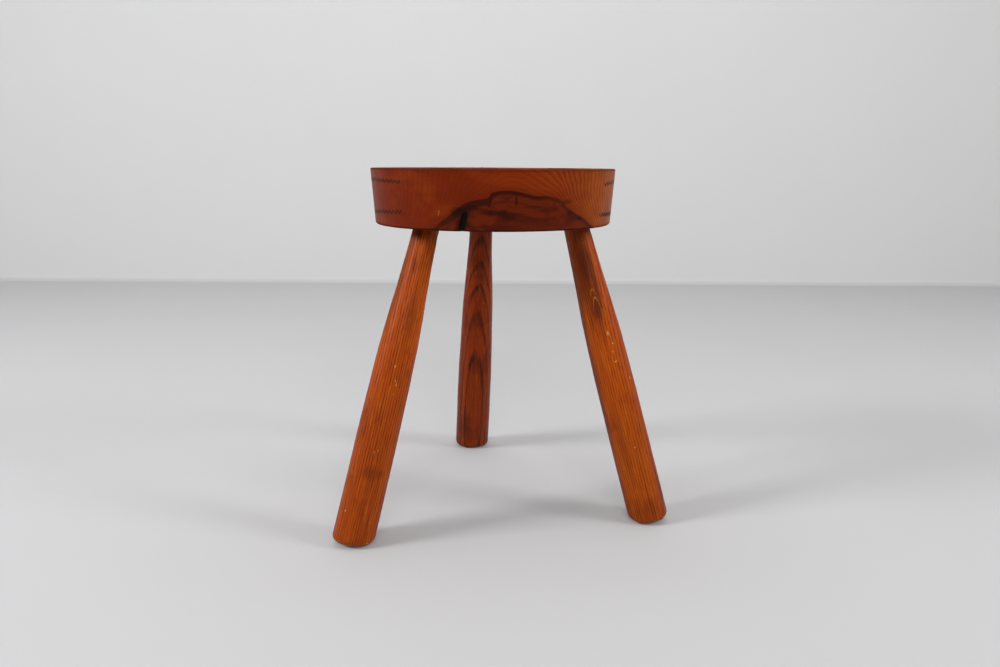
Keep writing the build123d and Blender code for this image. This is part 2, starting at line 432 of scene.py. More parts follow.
def build_leg(leg, proud):
    """A shaved leg with a worn foot, in its own axes: z up the leg, x outward."""
    facets = [(radians(a), d) for a, d in FACETS[leg.name]]
    seed = LEG_SEEDS[leg.name]
    n = AROUND_LEG
    turns = circle(n)

    def radius(z, t):
        share = z / leg.length
        base = lerp_table(TAPER, share) / 1000
        low_girth, high_girth = leg.girth
        girth = low_girth + (high_girth - low_girth) * smooth(0.28, 0.58, share)
        base *= 1 + (girth - 1) * (1 - smooth(0.9, 0.985, share))
        flat = min(d / max(cos(t - a), 0.2) for a, d in facets)
        # the flats fade into the round as the leg thickens
        open_up = 0.085 * smooth(0.80, 0.42, share) + 0.012 * wobble(0, 0, z, 0.05, seed)
        flats = base * (flat + open_up)
        r = soft_min(base, flats, 0.0006)
        if share > 0.99:
            r = TENON_R
        else:
            r = r + (TENON_R - r) * smooth(0.975, 0.99, share)
        body = 1 - smooth(0.95, 0.98, share)
        cx, cy = cos(t), sin(t)
        r += body * 0.00028 * wobble(cx, cy, z / 0.055, 0.62, seed)
        r += body * 0.00016 * wobble(cx, cy, z / 0.012, 0.30, seed + 3)
        # bruises and small chips, thickest low down
        dent = max(0.0, wobble(cx, cy, z / 0.016, 0.34, seed + 6) - 0.52)
        r -= body * dent * 0.0022
        return r

    def cut_height(px, py):
        """Height of the foot's underside at a floor position."""
        along = (Vector((px, py, 0)) - leg.foot).dot(leg.out) + WEAR_START
        return max(0.0, along * WEAR_SLOPE)

    def end_height(p):
        """How far up the leg its line through a point at leg.top meets the proud end."""
        return leg.top + (SEAT_TOP + proud - p.z) / leg.z.z

    # round the leg: edge rounding, where the foot starts and where the tenon ends
    rounding = []
    for t in turns:
        rounding.append(0.0066 + 0.0012 * wobble(cos(t), sin(t), 0, 0.5, seed + 8)
                        + 0.0008 * smooth(-0.2, 0.9, cos(t)))
    starts = []
    for t in turns:
        s = 0.0
        for _ in range(6):
            r = radius(s, t)
            p = leg.world(r * cos(t), r * sin(t), s)
            s += (cut_height(p.x, p.y) - p.z) / leg.z.z
        starts.append(s)
    ends = []
    for t in turns:
        ends.append(end_height(leg.world(TENON_R * cos(t), TENON_R * sin(t), leg.top)))

    def round_row(place):
        """A ring of points; place(k, t) gives each one's radius and height up the leg."""
        points = []
        for k, t in enumerate(turns):
            r, s = place(k, t)
            points.append(leg.world(r * cos(t), r * sin(t), s))
        return points

    # underside of the foot, from the middle out
    rim_points = []
    for t, start, edge in zip(turns, starts, rounding):
        rim_points.append((radius(start, t) - edge, t, start))
    middle = leg.world(0, 0, sum(starts) / n)
    middle.z = cut_height(middle.x, middle.y)
    verts = [middle]
    for ring in (0.12, 0.25, 0.38, 0.5, 0.62, 0.74, 0.86, 0.94, 1.0):
        points = []
        for r, t, s in rim_points:
            p = leg.world(r * cos(t) * ring, r * sin(t) * ring, s)
            p.z = cut_height(p.x, p.y)
            p.z += 0.0004 * max(0.0, wobble(p.x, p.y, 0, 0.006, seed)) * ring
            points.append(p)
        verts.extend(points)
    # rounded worn edge
    edge_rows = 8
    for i in range(1, edge_rows + 1):
        a = pi / 2 * i / edge_rows

        def on_edge(k, t):
            s = starts[k] + rounding[k] * (1 - cos(a))
            return radius(s, t) - rounding[k] * (1 - sin(a)), s

        points = round_row(on_edge)
        for p in points:
            p.z = max(p.z, 0.00002)
        verts.extend(points)
    # the shaft, then the tenon
    shaft_rows, tenon_rows, ease_rows = 210, 14, 3
    shaft_top = leg.length - SHAFT_END
    for i in range(1, shaft_rows + 1):
        def on_shaft(k, t):
            low = starts[k] + rounding[k]
            s = low + (shaft_top - low) * (i / shaft_rows)
            return radius(s, t), s

        verts.extend(round_row(on_shaft))
    for i in range(1, tenon_rows + 1):
        verts.extend(round_row(lambda k, t: (
            TENON_R, shaft_top + (ends[k] - TENON_EASE - shaft_top) * i / tenon_rows)))
    # eased end of the tenon
    for i in range(1, ease_rows + 1):
        a = pi / 2 * i / ease_rows
        verts.extend(round_row(lambda k, t: (
            TENON_R - TENON_EASE * (1 - cos(a)), ends[k] - TENON_EASE * (1 - sin(a)))))
    for ring in (0.9, 0.78, 0.64, 0.5, 0.36, 0.22, 0.1):
        points = []
        for t in turns:
            r = (TENON_R - TENON_EASE) * ring
            s = end_height(leg.world(r * cos(t), r * sin(t), leg.top))
            p = leg.world(r * cos(t), r * sin(t), s)
            p.z += 0.00012 * wobble(p.x, p.y, 0, 0.004, seed)
            points.append(p)
        verts.extend(points)
    crown = len(verts)
    p = leg.world(0, 0, leg.top)
    p.z = SEAT_TOP + proud
    verts.append(p)
    faces = []
    for k in range(n):
        beside = (k + 1) % n
        faces.append((0, 1 + beside, 1 + k))
        faces.append((crown, crown - n + k, crown - n + beside))
    faces += ring_quads(1, (crown - 1) // n, n)
    inverse = leg.matrix.inverted()
    verts = [inverse @ Vector(v) for v in verts]
    obj = new_mesh(leg.name + "_wood", verts, faces)
    obj.matrix_world = leg.matrix
    # wear: bare and pale along the foot's edge
    values = []
    for v in obj.data.vertices:
        t = atan2(v.co.y, v.co.x)
        k = int(round(t / (2 * pi) * n)) % n
        above = v.co.z - starts[k]
        inside = hypot(v.co.x, v.co.y) < radius(v.co.z, t) - rounding[k] - 0.0015
        edge = smooth(0.0075, 0.001, above - 0.003 * wobble(cos(t), sin(t), 0, 0.12, seed + 2))
        if inside and above < 0.01:
            edge = 0.45
        values.append(edge)
    layer = obj.data.attributes.new("wear", "FLOAT", "POINT")
    layer.data.foreach_set("value", values)
    return obj


def wedge_frame(leg):
    """Origin at the tenon's top end on the centre line: x thin way, y along the wedge."""
    thin = Vector((0, 1, 0)).cross(leg.z).normalized()
    along = leg.z.cross(thin).normalized()
    top = leg.world(0, 0, leg.top)
    return top, thin, along, leg.z


def wedge_mesh(leg, name, grow, proud):
    """Tapered wedge across the tenon; grow fattens it into a cutter for the kerf."""
    top, thin, along, up = wedge_frame(leg)
    verts, faces = [], []
    nx, ny, nz = 5, 25, 10
    index = {}

    def vert(i, j, k):
        if (i, j, k) in index:
            return index[(i, j, k)]
        drop = WEDGE_DEPTH * (1 - k / nz)
        taper = (WEDGE_HALF_TOP - WEDGE_HALF_TIP) * (1 - drop / WEDGE_DEPTH)
        half = WEDGE_HALF_TIP + taper + grow
        x = (i / nx * 2 - 1) * half
        reach = sqrt(max(TENON_R ** 2 - x * x, 0.0)) - 0.00012 + grow * 3
        y = (j / ny * 2 - 1) * reach
        p = top + thin * x + along * y - up * drop
        if k == nz:
            level = SEAT_TOP + proud
            p = p + up * ((level - p.z) / up.z)
            if grow == 0:
                # the hammered top is uneven, and lower along its two long edges
                p.z += (0.00015 * wobble(p.x, p.y, 0, 0.003, 6.0)
                        - 0.00018 * (2 * i / nx - 1) ** 4)
        index[(i, j, k)] = len(verts)
        verts.append(p)
        return index[(i, j, k)]

    def walls(first, second, *pair):
        """Two facing sides of the wedge, each given by its corners and its winding."""
        for a in range(first):
            for b in range(second):
                for corner, turned in pair:
                    loop = [(a, b), (a + 1, b), (a + 1, b + 1), (a, b + 1)]
                    if turned:
                        loop = [loop[0], loop[3], loop[2], loop[1]]
                    faces.append(tuple(corner(*place) for place in loop))

    walls(nx, ny, (lambda a, b: vert(a, b, 0), True), (lambda a, b: vert(a, b, nz), False))
    walls(nx, nz, (lambda a, b: vert(a, 0, b), False), (lambda a, b: vert(a, ny, b), True))
    walls(ny, nz, (lambda a, b: vert(0, a, b), True), (lambda a, b: vert(nx, a, b), False))
    obj = new_mesh(name, verts, faces)
    face_outward(obj)
    return obj


leg_objects = {}
wedge_objects = {}
for leg in legs.values():
    proud = PROUD[leg.name]
    wood = build_leg(leg, proud)
    kerf = wedge_mesh(leg, "kerf", 0.00012, proud + 0.004)
    cut(wood, [kerf])
    tidy_normals(wood, 42)
    leg_objects[leg.name] = wood
    short = leg.name.replace("leg_", "wedge_")
    wedge = wedge_mesh(leg, short + "_wood", 0.0, proud - 0.0002)
    tidy_normals(wedge, 40)
    wedge_objects[short] = wedge


# ---------------------------------------------------------------- materials
class Graph:
    """Short words for building a material's nodes."""

    def __init__(self, name):
        self.material = bpy.data.materials.new(name)
        self.material.use_nodes = True
        self.tree = self.material.node_tree
        self.shader = self.tree.nodes["Principled BSDF"]
        self.base = None    # the base colour so far

    def fill(self, made, **values):
        """Sets a node's plain inputs; an underscore stands for a space."""
        for key, value in values.items():
            made.inputs[key.replace("_", " ")].default_value = value

    def node(self, kind, **settings):
        made = self.tree.nodes.new(kind)
        for key, value in settings.items():
            setattr(made, key, value)
        return made

    def put(self, value, socket):
        if isinstance(value, Field):
            self.tree.links.new(value.out, socket)
        else:
            socket.default_value = value

    def math(self, operation, *values):
        made = self.node("ShaderNodeMath", operation=operation)
        for value, socket in zip(values, made.inputs):
            self.put(value, socket)
        return Field(self, made.outputs[0])

    def coords(self):
        return Field(self, self.node("ShaderNodeTexCoord").outputs["Object"])

    def coords_mm(self):
        x, y, z = self.split(self.coords())
        return x * MM, y * MM, z * MM

    def split(self, vector):
        made = self.node("ShaderNodeSeparateXYZ")
        self.put(vector, made.inputs[0])
        return [Field(self, made.outputs[i]) for i in range(3)]

    def join(self, x, y, z):
        made = self.node("ShaderNodeCombineXYZ")
        for value, socket in zip((x, y, z), made.inputs):
            self.put(value, socket)
        return Field(self, made.outputs[0])

    def noise(self, vector, scale=1.0, detail=2.0, rough=0.5, warp=0.0):
        made = self.node("ShaderNodeTexNoise")
        self.put(vector, made.inputs["Vector"])
        self.fill(made, Scale=scale, Detail=detail, Roughness=rough, Distortion=warp)
        return Field(self, made.outputs["Fac"])

    def cells(self, vector, scale):
        made = self.node("ShaderNodeTexVoronoi")
        self.put(vector, made.inputs["Vector"])
        self.fill(made, Scale=scale, Randomness=1.0)
        return Field(self, made.outputs["Distance"])

    def step(self, value, low, high):
        """Smoothstep, 0 at low and 1 at high; low may be above high."""
        made = self.node("ShaderNodeMapRange", interpolation_type="SMOOTHSTEP")
        to_low, to_high = 0.0, 1.0
        if low > high:
            low, high, to_low, to_high = high, low, to_high, to_low
        self.put(value, made.inputs["Value"])
        self.fill(made, From_Min=low, From_Max=high, To_Min=to_low, To_Max=to_high)
        return Field(self, made.outputs["Result"])

    def curve(self, value, points):
        """Smooth curve through points, both ways scaled to 0..1 by the caller."""
        made = self.node("ShaderNodeFloatCurve")
        line = made.mapping.curves[0]
        while len(line.points) > 2:
            line.points.remove(line.points[1])
        line.points[0].location = points[0]
        line.points[-1].location = points[-1]
        for point in points[1:-1]:
            line.points.new(*point)
        made.mapping.update()
        self.put(value, made.inputs["Value"])
        return Field(self, made.outputs["Value"])

    def mix(self, share, first, second, mode="MIX"):
        made = self.node("ShaderNodeMix", data_type="RGBA", blend_type=mode)
        self.put(share, made.inputs["Factor"])
        for value, socket in ((first, made.inputs[6]), (second, made.inputs[7])):
            if isinstance(value, Field):
                self.put(value, socket)
            else:
                socket.default_value = (*value, 1.0)
        return Field(self, made.outputs[2])

    def lay(self, share, *colour):
        """Lays a screen colour over the base colour so far."""
        self.base = self.mix(share, self.base, srgb(*colour))

    def ramp(self, value, stops):
        made = self.node("ShaderNodeValToRGB")
        elements = made.color_ramp.elements
        while len(elements) < len(stops):
            elements.new(0.5)
        for element, (place, colour) in zip(elements, stops):
            element.position = place
            element.color = (*colour, 1.0)
        self.put(value, made.inputs[0])
        return Field(self, made.outputs[0])

    def attribute(self, name):
        made = self.node("ShaderNodeAttribute", attribute_name=name)
        return Field(self, made.outputs["Fac"])

    def bump(self, height, strength, distance):
        made = self.node("ShaderNodeBump")
        self.fill(made, Strength=strength, Distance=distance)
        self.put(height, made.inputs["Height"])
        return Field(self, made.outputs[0])

    def reach(self, *spans):
        """Distance from a spot, from (offset, size) pairs; 1 where an offset is its size."""
        total = None
        for offset, size in spans:
            part = (offset / size).power(2.0)
            total = part if total is None else total + part
        return total.root()

    def finish(self, colour, roughness, normal=None, **settings):
        self.put(colour, self.shader.inputs["Base Color"])
        self.put(roughness, self.shader.inputs["Roughness"])
        if normal is not None:
            self.put(normal, self.shader.inputs["Normal"])
        self.fill(self.shader, **settings)
        return self.material


class Field:
    """A value in a node graph that takes ordinary arithmetic."""

    def __init__(self, graph, out):
        self.graph = graph
        self.out = out

    def __add__(self, other):
        return self.graph.math("ADD", self, other)

    __radd__ = __add__

    def __sub__(self, other):
        return self.graph.math("SUBTRACT", self, other)

    def __rsub__(self, other):
        return self.graph.math("SUBTRACT", other, self)

    def __mul__(self, other):
        return self.graph.math("MULTIPLY", self, other)

    __rmul__ = __mul__

    def __truediv__(self, other):
        return self.graph.math("DIVIDE", self, other)

    def root(self):
        return self.graph.math("SQRT", self)

    def size(self):
        return self.graph.math("ABSOLUTE", self)

    def power(self, p):
        return self.graph.math("POWER", self, p)

    def fract(self):
        return self.graph.math("FRACT", self)

    def high(self, other):
        return self.graph.math("MAXIMUM", self, other)


def srgb(r, g, b):
    """Colour as seen on a screen, 0 to 255, into linear light."""
    out = []
    for value in (r, g, b):
        value = value / 255
        out.append(value / 12.92 if value <= 0.04045 else ((value + 0.055) / 1.055) ** 2.4)
    return tuple(out)


def rim_mm(z):
    return rim(z / MM) * MM


SAP_LEFT = srgb(116, 36, 6)
SAP_MIDDLE = srgb(134, 42, 3)
SAP_RIGHT = srgb(164, 80, 20)

# all in mm from here: stains left by the strips, as side of the seat, height, reach, depth
IRON = [
    (1.0, 15.4, 3.6, 0.70),
    (1.0, 51.5, 2.4, 0.22),
    (-1.0, 54.5, 2.4, 0.20),
    (-1.0, 18.0, 2.6, 0.22),
]
# single marks on the front of the rim: x, z, half width, half height, depth
RIM_MARKS = [
    (0.5, 35.0, 1.8, 6.5, 0.70),
    (-26.0, 21.5, 17.0, 3.4, 0.70),
    (-14.0, 20.5, 7.0, 3.6, 0.45),
    (-48.0, 27.0, 9.0, 4.0, 0.60),
    (-60.0, 24.0, 8.0, 4.0, 0.75),
    (-6.0, 17.0, 9.0, 4.0, 0.45),
    (80.0, 13.5, 6.0, 3.6, 0.85),
    (38.0, 24.0, 16.0, 3.2, 0.40),
    (20.0, 27.5, 12.0, 2.0, 0.30),
    (-66.0, 21.0, 6.0, 5.0, 0.7),
    (62.0, 33.0, 7.0, 3.0, 0.5),
    (66.0, 20.0, 5.0, 3.5, 0.35),
    (-52.0, 9.0, 6.0, 4.0, 0.3),
]
# every third or so of the heart's points, for the broad growth rings round it
HEART_LOOSE = (0, 3, 6, 9, 11, 15, 17, 19, 21, 22, 24, 26)
CURVE_HALF = 150.0      # the outline's curve node spans this far left and right
CURVE_BELOW = 20.0      # and starts this far below the underside
CURVE_TALL = 70.0
RING_SPACING = 4.1
SEAT_GLOSS = 0.06
WOOD_GLOSS = 0.10


def seat_wood():
    """Varnished plank: heart on the front of the rim; x along the grain, z up, in mm."""
    g = Graph("seat_wood_varnished")
    x, y, z = g.coords_mm()
    # slow wander of the grain
    slow = g.noise(g.join(x * 0.35, y, z), 0.022, 2.0, 0.45) - 0.5
    fine = g.noise(g.join(x * 0.25, y, z), 0.085, 2.0, 0.5) - 0.5
    front = g.step(y, -40.0, -75.0)

    # the heart's outline on the rim, as height against x
    def outline(points):
        places = []
        for bearing, height in points:
            across = rim_mm(height) * sin(radians(bearing))
            places.append(((across + CURVE_HALF) / (2 * CURVE_HALF),
                           (height + CURVE_BELOW) / CURVE_TALL))
        return places

    def edge_height(shift, points):
        along = (x + (CURVE_HALF + shift)) / (2 * CURVE_HALF)
        return g.curve(along, points) * CURVE_TALL - CURVE_BELOW

    close = outline(HEART)
    edge = edge_height(0.0, close)
    nearby = 1.5
    slope = (edge_height(nearby, close) - edge_height(-nearby, close)) / (2 * nearby)
    away = (z - edge) / (slope * slope + 1.0).root()
    q_edge = away.high((y + 88.0 + slow * 24.0) * 0.5) + fine * 2.6

    # growth rings: follow the outline near the heart, stand upright away from it
    broad = edge_height(0.0, outline([HEART[i] for i in HEART_LOOSE]))
    above = z - broad
    above = above / ((above / 30.0).power(2.0) + 1.0).root()
    chord = (150.0 * 150.0 - x * x).high(1600.0).root()
    bow = 4200.0
    shoulder = (x * x / bow + 1.0).root() * bow ** 0.5
    q_ring = ((y + chord) * g.step(y, -20.0, -60.0) * 0.25
              + y * 0.55 + above * 0.95 + shoulder * 0.30)
    q_ring = q_ring + slow * 9.0 + fine * 2.8

    # sapwood
    right = g.step(x, -60.0, 130.0)
    tone = g.noise(g.join(x * 0.12, y, z), 0.045, 3.0, 0.55)
    g.base = g.mix(right, SAP_LEFT, SAP_RIGHT)
    centre = g.step((x - 25.0).size(), 95.0, 20.0) * front
    g.base = g.mix(centre * 0.75, g.base, SAP_MIDDLE)
    g.lay(g.step(tone, 0.35, 0.75) * 0.50, 100, 29, 4)
    g.lay(g.step(tone, 0.5, 0.2) * 0.35, 156, 68, 14)

    # growth rings: a broad soft band and a thin dark line at each year
    year = (q_ring / RING_SPACING).fract()
    line = g.step(year, 0.66, 0.90) * g.step(year, 1.0, 0.94)
    strength = 0.12 + 0.62 * g.step(x, -20.0, 80.0)
    strength = strength * (0.45 + 0.9 * g.noise(g.join(x, y, z), 0.03, 2.0, 0.5))
    g.lay(line * strength * 0.90, 78, 22, 3)
    band = g.step(year, 0.15, 0.5) * g.step(year, 0.8, 0.55)
    g.lay(band * strength * 0.34, 172, 82, 24)

    # heartwood
    heart = g.step(q_edge, 1.0, -1.0)
    mottle = g.noise(g.join(x * 0.45, y, z), 0.07, 3.0, 0.6, 0.4)
    inner = g.mix(g.step(mottle, 0.40, 0.60), srgb(109, 36, 7), srgb(63, 20, 7))
    inner = g.mix(g.step(z, 17.0, 2.0) * g.step(x, -20.0, 20.0) * 0.55, inner, srgb(112, 40, 14))
    g.base = g.mix(heart, g.base, inner)
    broad_rind = g.step((x + 50.0).size(), 34.0, 18.0) * 3.5
    rind = g.step(q_edge + broad_rind, -5.4, -1.8) * g.step(q_edge, 1.8, -0.2)
    thin = 0.60 + 0.40 * g.step((x + 20.0).size(), 75.0, 40.0)
    g.lay(rind * thin * 0.95, 22, 7, 6)
    second = g.step((q_edge + 9.5 + slow * 8.0).size(), 2.2, 0.4) * g.step(x, 70.0, 20.0)
    g.lay(second * 0.45, 40, 12, 8)
    halo = g.step(q_edge, 11.0, 0.5) * front
    g.lay(halo * 0.34, 92, 27, 8)

    # single marks on the front of the rim
    for mx, mz, wide, tall, deep in RIM_MARKS:
        reach = g.reach((x - mx, wide), (z - mz, tall))
        spot = g.step(reach + fine * 1.3, 1.25, 0.25) * front
        g.lay(spot * deep, 28, 9, 7)

    # iron from the strips has blackened the wood beside them
    for side, level, spread, deep in IRON:
        off = (z - level).size()
        near_strip = g.step(off + fine * 2.0, spread, spread * 0.35)
        near_strip = near_strip * g.step(x * side, 112.0, 126.0)
        g.lay(near_strip * deep, 24, 14, 13)

    # one bright scratch low on the left
    scratch = (g.step((x + 83.5 - (z - 20.0) * 0.16).size(), 0.6, 0.2)
               * g.step((z - 20.5).size(), 4.0, 2.0))
    g.lay(scratch * front * 0.35, 214, 140, 84)

    # fissure: stained around, and painted shade, near black, inside it
    seam = (z - 12.0) * 0.23 - 58.0
    beside = g.step((x - seam).size() + fine * 5.0, 8.0, 3.4) * g.step(z, 29.0, 21.0) * front
    g.lay(beside * 0.80, 30, 12, 9)
    radial = (x * x + y * y).root()
    inside = g.step(radial - (z * 0.0793 + 150.1), -0.7, -1.6)
    inside = inside * g.step(z, 0.4, 1.2) * g.step(z, 69.0, 67.8)
    g.lay(inside, 33, 28, 32)

    # fine pores, drawn out along the grain
    pores = g.noise(g.join(x * 0.10, y * 1.7, z * 1.7), 1.0, 2.0, 0.6)
    g.lay(g.step(pores, 0.60, 0.75) * 0.22, 58, 20, 8)
    streak = g.noise(g.join(x * 0.03, y * 0.5, z * 0.5), 1.0, 3.0, 0.6)
    g.lay((streak - 0.5).high(0.0) * 0.5, 92, 32, 12)
    # darker along the lower edge: painted shade and darkened varnish; darker along the top edge of
    # the rim above
    g.lay(g.step(z, 3.2, 0.6) * 0.60, 44, 16, 9)
    top_edge_dark = g.step(z + fine * 6.0, 64.5, 69.0) * g.step(radial, 150.0, 154.0)
    g.lay(top_edge_dark * 0.45, 60, 20, 9)

    # old varnish, a little brown over everything
    g.base = g.mix(1.0, g.base, (0.82, 0.79, 0.60), "MULTIPLY")

    scuff = g.noise(g.join(x, y, z), 0.12, 4.0, 0.6)
    flat_top = g.step(z, 68.0, 69.0)
    grimy = g.step(z, 5.0, 1.5) + g.step(z, 66.8, 68.6)
    rough = (0.30 + 0.16 * scuff + grimy * 0.35 + 0.06 * g.step(pores, 0.6, 0.75)
             + inside * 0.4 + flat_top * 0.10)
    relief = pores * -0.35 + scuff * 0.5 + line * -0.2
    normal = g.bump(relief, 0.30, 0.0006)
    return g.finish(g.base, rough, normal, Specular_IOR_Level=SEAT_GLOSS)


def leg_wood(name, tint, seed, grain, marks, stains_and_side_shade, arches=(), curls=()):
    """Straight-grained, open-pored wood; z runs up the leg, all in mm.

    grain is the rings' bearing, spacing, lean, bend, curl and wander.
    """
    g = Graph(name)
    x, y, z = g.coords_mm()

    def streaks(along, scale, detail, rough, across=None, shift=seed):
        """Noise drawn out along the leg."""
        if across is None:
            return g.noise(g.join(x + shift, y, z * along), scale, detail, rough)
        point = g.join(x * across + shift, y * across, z * along)
        return g.noise(point, scale, detail, rough)

    bearing, spacing, lean, bend, curl, wander = grain
    c, s = cos(radians(bearing)), sin(radians(bearing))
    u = x * c + y * s
    v = y * c - x * s
    slow = streaks(0.10, 0.05, 2.0, 0.5) - 0.5
    fine = streaks(0.05, 0.30, 2.0, 0.5) - 0.5
    ring = (u + v * v * bend + z * lean + z * z * curl
            + slow * 3.8 * wander + fine * 1.5 * wander)
    # arches push the rings aside: x, y, z, across, along, lift
    for ax, ay, az, wide, tall, lift in arches:
        near = g.reach((x - ax, wide), (y - ay, wide), (z - az, tall))
        ring = ring + g.step(near, 1.6, 0.0) * lift
    year = (ring / spacing + seed * 0.37).fract()
    early = g.step(year, 0.0, 0.16) * g.step(year, 0.60, 0.24)
    narrow = g.step(year, 0.06, 0.20) * g.step(year, 0.42, 0.26)

    light, mid, dark, pore = tint
    tone = streaks(0.014, 0.09, 3.0, 0.55, 0.8)
    g.base = g.mix(g.step(tone, 0.32, 0.70), mid, light)
    blotch = streaks(0.5, 0.032, 3.0, 0.6, 0.6)
    g.base = g.mix(g.step(blotch, 0.50, 0.68) * 0.60, g.base, dark)
    g.base = g.mix(early * (0.70 - 0.32 * wander), g.base, dark)

    # pores: long rows in the early wood, short dark dashes elsewhere
    dashes = streaks(0.045, 1.0, 3.0, 0.65, 1.15)
    patchy = streaks(0.05, 0.16, 2.0, 0.5, 0.9, seed * 3)
    rows = narrow * g.step(dashes, 0.38, 0.56) * (0.35 + 1.0 * g.step(patchy, 0.35, 0.65))
    open_pores = g.step(dashes, 0.56, 0.68) * (0.18 + 0.5 * early)
    g.base = g.mix(open_pores * 0.70, g.base, pore)
    g.base = g.mix(rows * 0.80, g.base, pore)
    hair = streaks(0.08, 1.0, 2.0, 0.6, 3.0)
    g.base = g.mix(g.step(hair, 0.56, 0.70) * 0.22, g.base, pore)
    gold = streaks(0.05, 0.6, 2.0, 0.5, 1.6)
    g.lay(g.step(gold, 0.52, 0.72) * 0.42 * wander, 216, 116, 24)

    # dark stains, and painted shade down one side of some legs: x, y, z, across, along, depth
    for sx, sy, sz, across, tall, deep in stains_and_side_shade:
        reach = g.reach((x - sx, across), (y - sy, across), (z - sz, tall))
        spot = g.step(reach + fine * 0.8 + slow * 0.5, 1.3, 0.25)
        g.lay(spot * deep, 62, 22, 9)
    # small pale scratches, given in the same way
    crumb = g.noise(g.join(x + seed, y, z), 0.8, 2.0, 0.6) - 0.5
    for sx, sy, sz, across, tall, deep in marks:
        reach = g.reach((x - sx, across), (y - sy, across), (z - sz, tall))
        spot = g.step(reach + crumb * 1.4, 1.15, 0.55)
        g.lay(spot * deep, 222, 156, 92)

    # pale arches of a small curl in the grain: x, y, height of the top, spread, width, depth
    for ax, ay, apex, spread, width, deep in curls:
        away = hypot(ax, ay)
        across = (x - ax) * (-ay / away) + (y - ay) * (ax / away)
        off = (z - apex + across * across * spread + fine * 2.0).size()
        arch = g.step(off, width, width * 0.25) * g.step(across.size(), 6.0, 4.0)
        arch = arch * g.step(((x - ax).power(2.0) + (y - ay).power(2.0)).root(), 12.0, 8.0)
        g.lay(arch * deep, 226, 134, 44)

    # flecks rubbed through the varnish
    fleck = streaks(0.33, 0.33, 3.0, 0.6, shift=seed * 2)
    pale = g.step(fleck, 0.715, 0.77)
    g.lay(pale * 0.32, 206, 130, 70)
    # worn foot
    wear = g.attribute("wear")
    torn = g.noise(g.join(x, y, z), 0.45, 3.0, 0.6)
    bare = g.step(wear + (torn - 0.5) * 1.1, 0.62, 1.05)
    g.lay(bare * 0.60, 196, 140, 96)
    g.lay(g.step(wear, 0.25, 0.9) * 0.30, 76, 34, 16)
    # painted shade on the leg just under the seat
    under_seat_shade = g.step(z, 366.0, 393.0) * g.step(z, 412.0, 400.0)
    g.lay(under_seat_shade * 0.45, 60, 22, 10)

    # painted shade: darker toward the foot, where less light reaches the leg
    foot_shade_ramp = g.ramp(z / 400.0, [(0.0, (0.70, 0.72, 0.70)), (0.35, (0.74, 0.75, 0.72)),
                                (0.62, (0.85, 0.84, 0.80)), (1.0, (0.98, 0.96, 0.90))])
    g.base = g.mix(1.0, g.base, foot_shade_ramp, "MULTIPLY")
    # end grain at the top soaks up varnish
    end_grain = g.step(z, 440.0, 446.0)
    g.lay(end_grain * 0.75, 74, 26, 9)
    dots = g.cells(g.join(x, y, z * 0.1), 1.1)
    g.lay(g.step(dots, 0.30, 0.12) * end_grain * 0.5, 30, 11, 5)

    scuff = streaks(0.5, 0.16, 4.0, 0.6)
    rough = 0.30 + 0.20 * scuff + open_pores * 0.12 + bare * 0.3 + end_grain * 0.45
    relief = open_pores * -0.7 + rows * -0.7 + scuff * 0.45 + pale * -0.3
    normal = g.bump(relief, 0.40, 0.0006)
    return g.finish(g.base, rough, normal, Specular_IOR_Level=WOOD_GLOSS)


def wedge_wood():
    g = Graph("wedge_wood_end_grain")
    x, y, z = g.coords_mm()
    grain = g.noise(g.join(x * 2.2, y * 0.6, z * 0.2), 1.0, 3.0, 0.6)
    g.base = g.mix(g.step(grain, 0.3, 0.7), srgb(96, 42, 16), srgb(58, 22, 9))
    dots = g.cells(g.join(x, y, z * 0.2), 1.6)
    g.lay(g.step(dots, 0.35, 0.1) * 0.5, 40, 18, 10)
    normal = g.bump(grain, 0.4, 0.0004)
    return g.finish(g.base, 0.7 + 0.2 * grain, normal, Specular_IOR_Level=WOOD_GLOSS)


def strip_steel():
    g = Graph("strip_steel_rusted")
    x, y, z = g.coords_mm()
    rust = g.noise(g.join(x, y, z), 0.5, 4.0, 0.65)
    g.base = g.mix(g.step(rust, 0.35, 0.7), srgb(22, 12, 9), srgb(46, 20, 12))
    normal = g.bump(rust, 0.5, 0.0003)
    return g.finish(g.base, 0.55 + 0.3 * rust, normal, Metallic=0.2, Specular_IOR_Level=0.15)


# light, middle and dark wood, and pores
ORANGE = (srgb(190, 84, 7), srgb(166, 64, 4), srgb(124, 39, 2), srgb(72, 22, 3))
DARKER = (srgb(152, 56, 8), srgb(128, 42, 5), srgb(88, 26, 3), srgb(46, 14, 3))


def paint(material, *objects):
    for obj in objects:
        obj.data.materials.clear()
        obj.data.materials.append(material)


